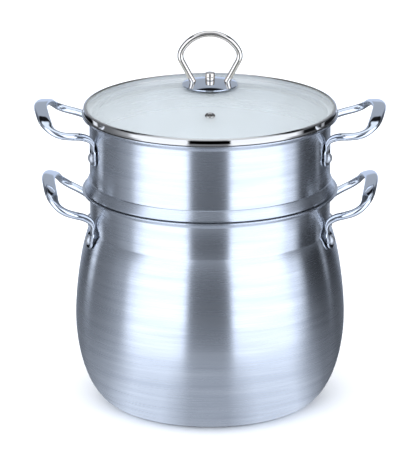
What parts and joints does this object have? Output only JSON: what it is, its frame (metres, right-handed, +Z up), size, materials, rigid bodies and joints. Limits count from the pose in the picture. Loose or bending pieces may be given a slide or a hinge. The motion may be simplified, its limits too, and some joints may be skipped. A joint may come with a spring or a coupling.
{
  "type": "steamer pot",
  "caption": "Two-tier steamer pot: bellied aluminium stockpot, perforated steamer tier on its flared rim, and domed glass lid with a wire loop knob and steam vent.",
  "frame": {"origin": "centre of the flat base, on the surface the pot stands on", "axes": "+Z up along the pot's axis, +X from the centre towards the right-hand handles, -Y towards the side where the lid's vent is"},
  "size_m": [0.3494, 0.27, 0.3801],
  "materials": {
    "aluminium_sheet": "circumferentially brushed satin",
    "rivet_aluminium": "plain satin",
    "chromed_rod": "polished chrome plate",
    "chromed_wire": "polished chrome plate",
    "ring_steel": "polished stainless sheet",
    "hardware_steel": "plain bright steel",
    "tempered_glass": "clear, polished",
    "silicone": "matt grey silicone"
  },
  "bodies": {
    "pot": {"pot_shell": "aluminium_sheet", "pot_handle_left": "chromed_rod", "pot_rivet_left_front": "rivet_aluminium", "pot_rivet_left_back": "rivet_aluminium", "pot_handle_right": "chromed_rod", "pot_rivet_right_front": "rivet_aluminium", "pot_rivet_right_back": "rivet_aluminium"},
    "steamer": {"steamer_shell": "aluminium_sheet", "steamer_handle_left": "chromed_rod", "steamer_rivet_left_front": "rivet_aluminium", "steamer_rivet_left_back": "rivet_aluminium", "steamer_handle_right": "chromed_rod", "steamer_rivet_right_front": "rivet_aluminium", "steamer_rivet_right_back": "rivet_aluminium"},
    "lid": {"lid_glass": "tempered_glass", "lid_ring": "ring_steel", "lid_vent_eyelet": "ring_steel", "knob_loop": "chromed_wire", "knob_saucer": "chromed_wire", "knob_nut": "hardware_steel", "knob_screw": "hardware_steel", "knob_washer": "hardware_steel", "knob_gasket_upper": "silicone", "knob_gasket_lower": "silicone"}
  },
  "joints": [
    {"name": "steamer_lift", "type": "slide", "parent": "pot", "child": "steamer", "axis": [0, 0, 1], "range_m": [0, 0.14]},
    {"name": "lid_lift", "type": "slide", "parent": "steamer", "child": "lid", "axis": [0, 0, 1], "range_m": [0, 0.12]}
  ]
}
